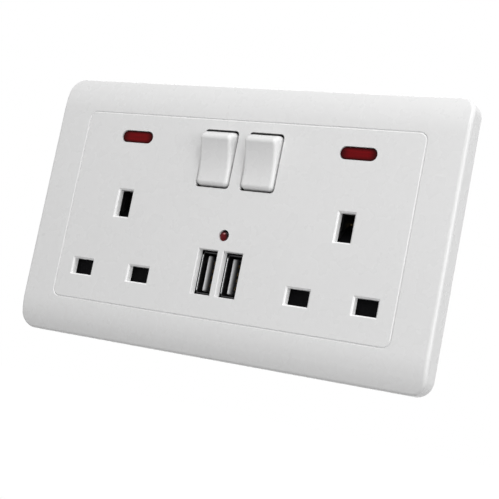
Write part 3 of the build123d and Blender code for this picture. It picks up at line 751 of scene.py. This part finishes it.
def makeLens(side, s):
    shape = bmesh.new()
    straight = (s["width"] - s["tall"]) / 2
    radius = s["tall"] / 2 + s["flange"]
    turn = Matrix.Rotation(pi / s["segments"], 4, "Z")
    ring = bmesh.ops.create_circle(
        shape, cap_ends=True, segments=s["segments"], radius=radius * mm, matrix=turn)["verts"]
    for sign in (-1, 1):
        lay(shape, [v for v in ring if v.co.x * sign > 0], (sign * straight, 0, 0))
    lay(shape, shape.verts[:], (0, coverBack + s["flange"], 0), Matrix.Rotation(pi / 2, 3, "X"))
    top = push(shape, shape.faces[:], (0, -s["flange"], 0))
    bmesh.ops.inset_region(shape, faces=top, thickness=s["flange"] * mm, use_even_offset=True)
    top = push(shape, top, (0, frontFace + s["sunk"] - coverBack, 0))
    roundOff(shape, edgesOf(top), s["edge"], 4)
    bmesh.ops.holes_fill(shape, edges=shape.edges[:], sides=0)
    bmesh.ops.recalc_face_normals(shape, faces=shape.faces[:])
    lay(shape, shape.verts[:], (sides[side] * s["apart"] / 2, 0, s["height"]))
    newPiece(side + "_neon_lens_dressed", shape, side + "_neon_lens")


# Neon lamps: a sealed glass tube with two electrodes and their leads. The tube's outline is given
# in shares of its radius or of its nip, each with the distance from that end.
lampSizes = {
    "place": (40.0, -1.6, 23.8), "half": 5.0, "radius": 1.95, "nip": 0.45,
    "base": [(0.75, 0.0), (0.95, 0.35), (1.0, 1.0)], "shoulder": [(1.0, 2.6), (0.92, 1.9), (0.68, 1.3)],
    "tip": [(1.0, 0.9), (0.8, 0.2)], "lead": {"radius": 0.2, "low": -4.9},
    "electrode": {"radius": 0.4, "off": 0.75, "low": -3.6, "high": 1.6, "edge": 0.2},
}


def makeLamp(side, s):
    shape = bmesh.new()
    radius, half = s["radius"], s["half"]
    profile = [(0, -half)]
    profile += [(radius * share, up - half) for share, up in s["base"]]
    profile += [(radius * share, half - down) for share, down in s["shoulder"]]
    profile += [(s["nip"] * share, half - down) for share, down in s["tip"]]
    profile += [(0, half)]
    glass = addTurned(shape, profile, 32)
    rod, lead = s["electrode"], s["lead"]
    low, high, thick, edge = rod["low"], rod["high"], rod["radius"], rod["edge"]
    rodProfile = [(0, low), (thick, low), (thick, high - edge), (thick - edge, high), (0, high)]
    leadProfile = [(0, lead["low"]), (lead["radius"], lead["low"]), (lead["radius"], low), (0, low)]
    for sign in (-1, 1):
        lay(shape, addTurned(shape, rodProfile, 16), (0, sign * rod["off"], 0))
        lay(shape, addTurned(shape, leadProfile, 10), (0, sign * rod["off"], 0))
    glass = set(glass)
    for face in shape.faces:
        face.material_index = int(face.verts[0] not in glass)
    across, depth, height = s["place"]
    lay(shape, shape.verts[:], (sides[side] * across, depth, height), Matrix.Rotation(pi / 2, 3, "Y"))
    newPiece(side + "_neon_lamp_dressed", shape, side + "_neon_lamp", more=[extras["tin"]])


# The charging light: a domed nose, a flange and two leads.
ledSizes = {
    "height": -5.1, "radius": 1.7, "dome": 2.3, "domeSteps": 10, "proud": 0.1, "flange": (2.0, 0.8),
    "deck": -1.8, "pitch": 2.54, "lead": 0.5, "leadEdge": 0.08, "leadEnd": 9.9,
}


def makeLed(s):
    shape = bmesh.new()
    nose = frontFace - s["proud"]
    deck = s["deck"]
    flange, thick = s["flange"]
    profile = []
    for step in range(s["domeSteps"] + 1):
        angle = asin(s["radius"] / s["dome"]) * step / s["domeSteps"]
        profile.append((s["dome"] * sin(angle), nose + s["dome"] * (1 - cos(angle))))
    profile += [(s["radius"], deck - thick), (flange, deck - thick), (flange, deck), (0, deck)]
    lay(shape, addTurned(shape, profile, 48), (0, 0, 0), backwards)
    half = s["lead"] / 2
    for sign in (-1, 1):
        x = sign * s["pitch"] / 2
        for face in addBlock(shape, (x - half, deck, -half), (x + half, s["leadEnd"], half), s["leadEdge"]):
            face.material_index = 1
    lay(shape, shape.verts[:], (0, 0, s["height"]))
    newPiece("charge_led_dressed", shape, "charge_led", 40.0, more=[extras["tin"]])


# USB sockets: a folded shell with spring fingers, and a tongue. Fingers and lips follow lines of
# points, given by how far each stands in or out from the wall and by its depth.
usbSizes = {
    "apart": 9.0, "height": -17.05, "width": 5.72, "tall": 13.1, "wall": 0.3, "front": -4.5, "back": 9.9,
    "corner": 0.55, "base": 5.2, "baseGap": 0.05, "tongue": 1.84, "shift": -0.4, "tip": -4.0, "root": 0.2,
    "endGap": 0.7, "edge": 0.4,
    "fingers": {
        "heights": (-2.9, 2.9), "wide": 1.7, "thick": 0.22, "line": [(0.1, -1.6), (0.5, 0.8), (0.0, 4.0)],
    },
    "lips": {"tall": 11.2, "thick": 0.2, "line": [(0.0, 0.5), (0.08, 0.2), (0.34, 0.0)]},
}


def makeShell(side, s):
    shape = bmesh.new()
    bmesh.ops.create_cube(shape, size=mm)
    bmesh.ops.scale(shape, verts=shape.verts, vec=(s["width"], s["back"] - s["front"], s["tall"]))
    bmesh.ops.delete(shape, geom=[f for f in shape.faces if abs(f.normal.y) > 0.9], context="FACES_ONLY")
    folds = [e for e in shape.edges if abs(e.verts[0].co.y - e.verts[1].co.y) > mm]
    roundOff(shape, folds, s["corner"], 5)
    bmesh.ops.recalc_face_normals(shape, faces=shape.faces[:])
    bmesh.ops.solidify(shape, geom=shape.faces[:], thickness=s["wall"] * mm)
    lay(shape, shape.verts[:], (0, (s["front"] + s["back"]) / 2, 0))
    finger = s["fingers"]
    inside = s["width"] / 2 - s["wall"] - finger["thick"] / 2
    half = finger["wide"] / 2
    for sign in (-1, 1):
        line = [(sign * (inside - inset), y) for inset, y in finger["line"]]
        for z in finger["heights"]:
            addStrip(shape, line, z - half, z + half, finger["thick"])
    # A lip turned outwards along each long side of the mouth, in bright tin as the lit plating beside the
    # shell's painted shade.
    lip = s["lips"]
    outside = s["width"] / 2 - lip["thick"] / 2
    half = lip["tall"] / 2
    for sign in (-1, 1):
        line = [(sign * (outside + flare), s["front"] + y) for flare, y in lip["line"]]
        for face in addStrip(shape, line, -half, half, lip["thick"]):
            face.material_index = 1
    lay(shape, shape.verts[:], (sides[side] * s["apart"] / 2, 0, s["height"]))
    bmesh.ops.recalc_face_normals(shape, faces=shape.faces[:])
    newPiece(side + "_usb_shell_dressed", shape, side + "_usb_shell", more=[extras["tin"]])


def makeTongue(side, s):
    shape = bmesh.new()
    x = sides[side] * s["apart"] / 2
    inner = s["wall"] + s["baseGap"]
    baseFront = s["back"] - s["base"]
    halfWide, halfTall = s["width"] / 2 - inner, s["tall"] / 2 - inner
    addBlock(shape, (x - halfWide, baseFront, -halfTall), (x + halfWide, s["back"], halfTall))
    middle, half, tall = x + s["shift"], s["tongue"] / 2, halfTall - s["endGap"]
    addBlock(shape, (middle - half, s["tip"], -tall), (middle + half, baseFront + s["root"], tall))
    tip = [e for e in shape.edges if max(v.co.y for v in e.verts) < (s["tip"] + 0.1) * mm]
    roundOff(shape, tip, s["edge"], 3)
    lay(shape, shape.verts[:], (0, 0, s["height"]))
    newPiece(side + "_usb_tongue_dressed", shape, side + "_usb_tongue")


for side in sides:
    makeRocker(side, rockerSizes)
    makePlunger(side, plungerSizes, rockerSizes)
    makePlungerSpring(side, springSizes["plunger"], rockerSizes)
    makeShutterSpring(side, springSizes["shutter"])
    makeLens(side, lensSizes)
    makeLamp(side, lampSizes)
    makeShell(side, usbSizes)
    makeTongue(side, usbSizes)
makeLed(ledSizes)
print("switches, lights and ports made")


# Charger capacitors: a sleeve with a groove near its foot, and a bare lid. The sleeve's outline is
# given by how far each point stands in from the radius, and its distance from that end.
canSizes = {
    "places": [(6.8, -2.2), (6.8, -9.7)], "seat": 11.1, "radius": 3.2, "length": 10.0,
    "foot": [(0.3, 0.0), (0.0, 0.3), (0.0, 0.9), (0.25, 1.25), (0.0, 1.6)],
    "head": [(0.0, 0.35), (0.12, 0.1), (0.35, 0.0)], "lid": 2.5, "lidWall": 0.08, "lidSunk": 0.15,
}


def makeCans(s):
    shape = bmesh.new()
    radius, length, lid = s["radius"], s["length"], s["lid"]
    lidLevel = length - s["lidSunk"]
    profile = [(0, 0)]
    profile += [(radius - inset, up) for inset, up in s["foot"]]
    profile += [(radius - inset, length - down) for inset, down in s["head"]]
    profile += [(lid, length), (lid - s["lidWall"], lidLevel), (0, lidLevel)]
    for x, z in s["places"]:
        lay(shape, addTurned(shape, profile, 48), (x, s["seat"], z), backwards)
    for face in shape.faces:
        corners = [v.co / mm for v in face.verts]
        away = min(sqrt((c.x - x) ** 2 + (c.z - z) ** 2) for c in corners for x, z in s["places"])
        atTop = face.calc_center_median().y > (s["seat"] + length - 2 * s["lidSunk"]) * mm
        face.material_index = int(atTop and away < lid - s["lidWall"] / 2)
    newPiece("usb_capacitors_dressed", shape, "usb_capacitors", more=[extras["tin"]])


# The transformer, with tape round its winding.
windingSizes = {
    "low": (-9.0, 11.1, -11.0), "high": (1.0, 21.1, -5.0), "core": (12.1, 20.1), "slack": 0.01,
    "soften": 0.25,
}


def makeTransformer(s):
    shape = mergedCopy("usb_transformer")
    slack = s["slack"]
    for face in shape.faces:
        middle = face.calc_center_median() / mm
        inside = all(a - slack < v < b + slack for a, v, b in zip(s["low"], middle, s["high"]))
        clear = middle.y < s["core"][0] - slack or middle.y > s["core"][1] + slack
        taped = clear or abs(face.normal.x) > 0.9 or abs(face.normal.z) < 0.1
        face.material_index = int(inside and taped)
    newPiece("usb_transformer_dressed", shape, "usb_transformer", soften=s["soften"], more=[extras["tape"]])


# Solder joints, chips and small parts on the board. Sizes are width, thickness and height, and the
# joint's outline is in shares of its radius and height.
boardSizes = {
    "back": 11.1, "pads": [(-4.5, -17.05), (4.5, -17.05)], "pins": (-3.5, -1.0, 1.0, 3.5),
    "joint": (0.75, 0.5), "jointLine": [(1.0, 0.0), (0.8, 0.45), (0.4, 0.8), (0.3, 1.5), (0.0, 1.6)],
    "chips": [(-8.4, -19.5, (3.2, 1.1, 2.6)), (8.6, -19.6, (2.6, 1.0, 2.6))],
    "chipGap": 0.1, "chipEdge": 0.12,
    "foot": {"out": 0.3, "pitch": 0.8, "size": (0.8, 0.25, 0.4), "edge": 0.05},
    "small": [
        (-8.6, -23.4), (-5.6, -24.2), (0, -23.6), (0, -14.8), (5.4, -24.2), (8.8, -23.2), (9.4, -15.2),
        (-9.6, -15.6),
    ],
    "smallSize": (1.2, 0.6, 1.0), "smallEdge": 0.08, "cap": {"out": 0.8, "size": (0.5, 0.62, 1.1)},
}


def makeBoardParts(s):
    shape = bmesh.new()
    foot, cap = s["foot"], s["cap"]

    def stand(x, z, size, edge, finish=0, gap=0.0):
        wide, thick, tall = size
        low = (x - wide / 2, s["back"] + gap, z - tall / 2)
        high = (x + wide / 2, s["back"] + thick, z + tall / 2)
        for face in addBlock(shape, low, high, edge):
            face.material_index = finish

    radius, height = s["joint"]
    profile = [(radius * share, height * up) for share, up in s["jointLine"]]
    for x, z in s["pads"]:
        for pin in s["pins"]:
            lay(shape, addTurned(shape, profile, 14), (x, s["back"], z + pin), backwards)
    for x, z, size in s["chips"]:
        stand(x, z, size, s["chipEdge"], 1, s["chipGap"])
        for step in (-1, 0, 1):
            for sign in (-1, 1):
                out = sign * (size[0] / 2 + foot["out"])
                stand(x + out, z + step * foot["pitch"], foot["size"], foot["edge"])
    for x, z in s["small"]:
        stand(x, z, s["smallSize"], s["smallEdge"], 2)
        for sign in (-1, 1):
            stand(x + sign * cap["out"], z, cap["size"], s["smallEdge"])
    newPiece(
        "usb_board_parts", shape, "usb_circuit_board", stands=False, slot="screw_steel",
        more=[extras["chip"], extras["tan"]])


makeCans(canSizes)
makeTransformer(windingSizes)
makeBoardParts(boardSizes)
print("charger parts made")


# Camera, light and floor.
cameraSetup = {
    "place": (199.48, -325.71, -52.91), "right": (0.85486, 0.48125, 0.19392),
    "up": (-0.10815, -0.20027, 0.97375), "lens": 89.13, "sensor": 36.0,
}
lightSetup = {
    "ambient": 0.465,
    "lamps": [
        ("overheadSoftbox", (170, -380, 550), 500, 0.57), ("rightFill", (625, -240, 70), 450, 0.39),
        ("rearFill", (-350, 620, 300), 500, 0.30),
    ],
}
floorSetup = {
    "height": -120.0, "size": 4000.0, "shade": (-30.0, 20.0, 0.47, 0.04), "roughness": 0.9,
    "tone": (0.5, 0.5, 0.5), "lift": (200.0, 420.0, 0.54, 0.90),
}


def makeCamera(setup):
    data = bpy.data.cameras.new("photoCamera")
    data.lens = setup["lens"]
    data.sensor_width = setup["sensor"]
    right = Vector(setup["right"]).normalized()
    back = right.cross(Vector(setup["up"])).normalized()
    turn = Matrix((right, back.cross(right), back)).transposed().to_4x4()
    camera = bpy.data.objects.new("photoCamera", data)
    camera.matrix_world = Matrix.Translation(Vector(setup["place"]) * mm) @ turn
    scene.collection.objects.link(camera)
    scene.camera = camera


def seenDirectly(start):
    # One where the background or floor is seen, also through glass or in a glossy surface.
    rays = start.node("ShaderNodeLightPath", {}, {}, "Is Camera Ray")
    for name in ("Is Glossy Ray", "Is Transmission Ray"):
        rays = start.maths("MAXIMUM", rays, start.node("ShaderNodeLightPath", {}, {}, name))
    return rays


def makeLight(setup):
    world = bpy.data.worlds.new("studio")
    world.use_nodes = True
    tree = world.node_tree
    tree.nodes.clear()
    start = Shade(tree)
    dim = start.node("ShaderNodeBackground", {}, {"Color": (1, 1, 1), "Strength": setup["ambient"]})
    bright = start.node("ShaderNodeBackground", {}, {"Color": (1, 1, 1), "Strength": 1.0})
    both = start.node("ShaderNodeMixShader", {}, {0: seenDirectly(start), 1: dim, 2: bright})
    tree.links.new(both.out, tree.nodes.new("ShaderNodeOutputWorld").inputs[0])
    scene.world = world
    # Each lamp looks at the middle of the part, and its level is the light that arrives there.
    for name, place, size, level in setup["lamps"]:
        data = bpy.data.lights.new(name, "AREA")
        data.shape = "SQUARE"
        data.size = size * mm
        aim = Vector(place) * mm
        data.energy = level * pi ** 2 * aim.length_squared
        lamp = bpy.data.objects.new(name, data)
        lamp.matrix_world = Matrix.Translation(aim) @ aim.to_track_quat("Z", "Y").to_matrix().to_4x4()
        scene.collection.objects.link(lamp)


def floorMaterial(setup):
    material = bpy.data.materials.new("paleFloor")
    material.use_nodes = True
    tree = material.node_tree
    shader = tree.nodes["Principled BSDF"]
    shader.inputs["Roughness"].default_value = setup["roughness"]
    plain = Shade(tree, shader.outputs[0])
    x, y, _ = axes(plain.node("ShaderNodeTexCoord", {}, {}, "Object"))
    plain.feed(shader.inputs["Base Color"], y.ramp(*setup["shade"]))
    # Seen directly the floor is lifted towards white, and less near the part, so its shadow shows.
    pale = plain.node("ShaderNodeBsdfDiffuse", {}, {"Color": setup["tone"]})
    lift = (x * x + y * y).root().ramp(*setup["lift"])
    glow = plain.node("ShaderNodeEmission", {}, {"Color": lift, "Strength": 1.0})
    lifted = plain.node("ShaderNodeAddShader", {}, {0: pale, 1: glow})
    both = plain.node("ShaderNodeMixShader", {}, {0: seenDirectly(plain), 1: plain, 2: lifted})
    tree.links.new(both.out, tree.nodes["Material Output"].inputs[0])
    return material


def makeFloor(setup):
    shape = bmesh.new()
    bmesh.ops.create_grid(shape, x_segments=1, y_segments=1, size=setup["size"] * mm)
    lay(shape, shape.verts[:], (0, 0, setup["height"]))
    mesh = bpy.data.meshes.new("studioFloor")
    shape.to_mesh(mesh)
    shape.free()
    floor = bpy.data.objects.new("studioFloor", mesh)
    scene.collection.objects.link(floor)
    mesh.materials.append(floorMaterial(setup))


makeCamera(cameraSetup)
makeLight(lightSetup)
makeFloor(floorSetup)
scene.view_settings.view_transform = "Standard"
print("studio ready")
